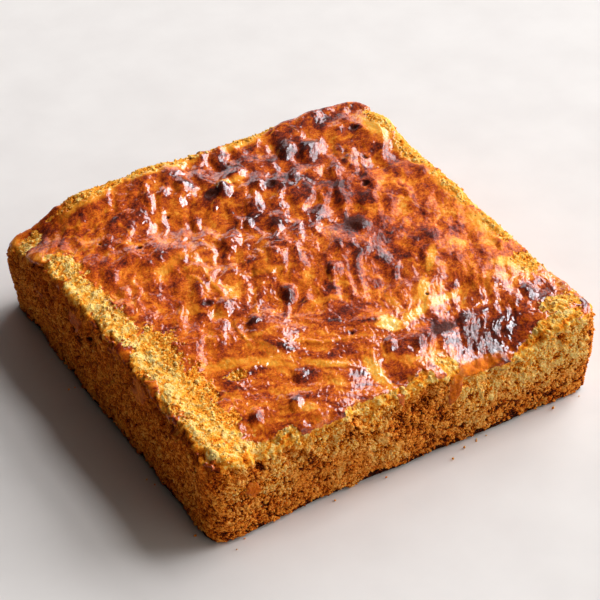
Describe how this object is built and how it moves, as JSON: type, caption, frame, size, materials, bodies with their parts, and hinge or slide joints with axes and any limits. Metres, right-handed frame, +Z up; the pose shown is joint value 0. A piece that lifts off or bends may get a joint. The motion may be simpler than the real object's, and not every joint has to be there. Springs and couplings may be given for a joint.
{
  "type": "square butter gateau",
  "caption": "Low square baked butter cake, whole and uncut, with an uneven glazed top, a worn crumbly rim and nearly upright crumb sides.",
  "frame": {"origin": "under the middle of the cake's footprint, on the surface it stands on", "axes": "+Z up through the cake, +X and +Y along the sides of its square plan; the corner shown nearest in the picture is at -X, -Y"},
  "size_m": [0.1284, 0.1288, 0.0346],
  "materials": {
    "crust": "baked golden crust: satin egg-wash glaze on top, matt crumb at the sides"
  },
  "bodies": {
    "root": {"cake": "crust"}
  },
  "joints": []
}
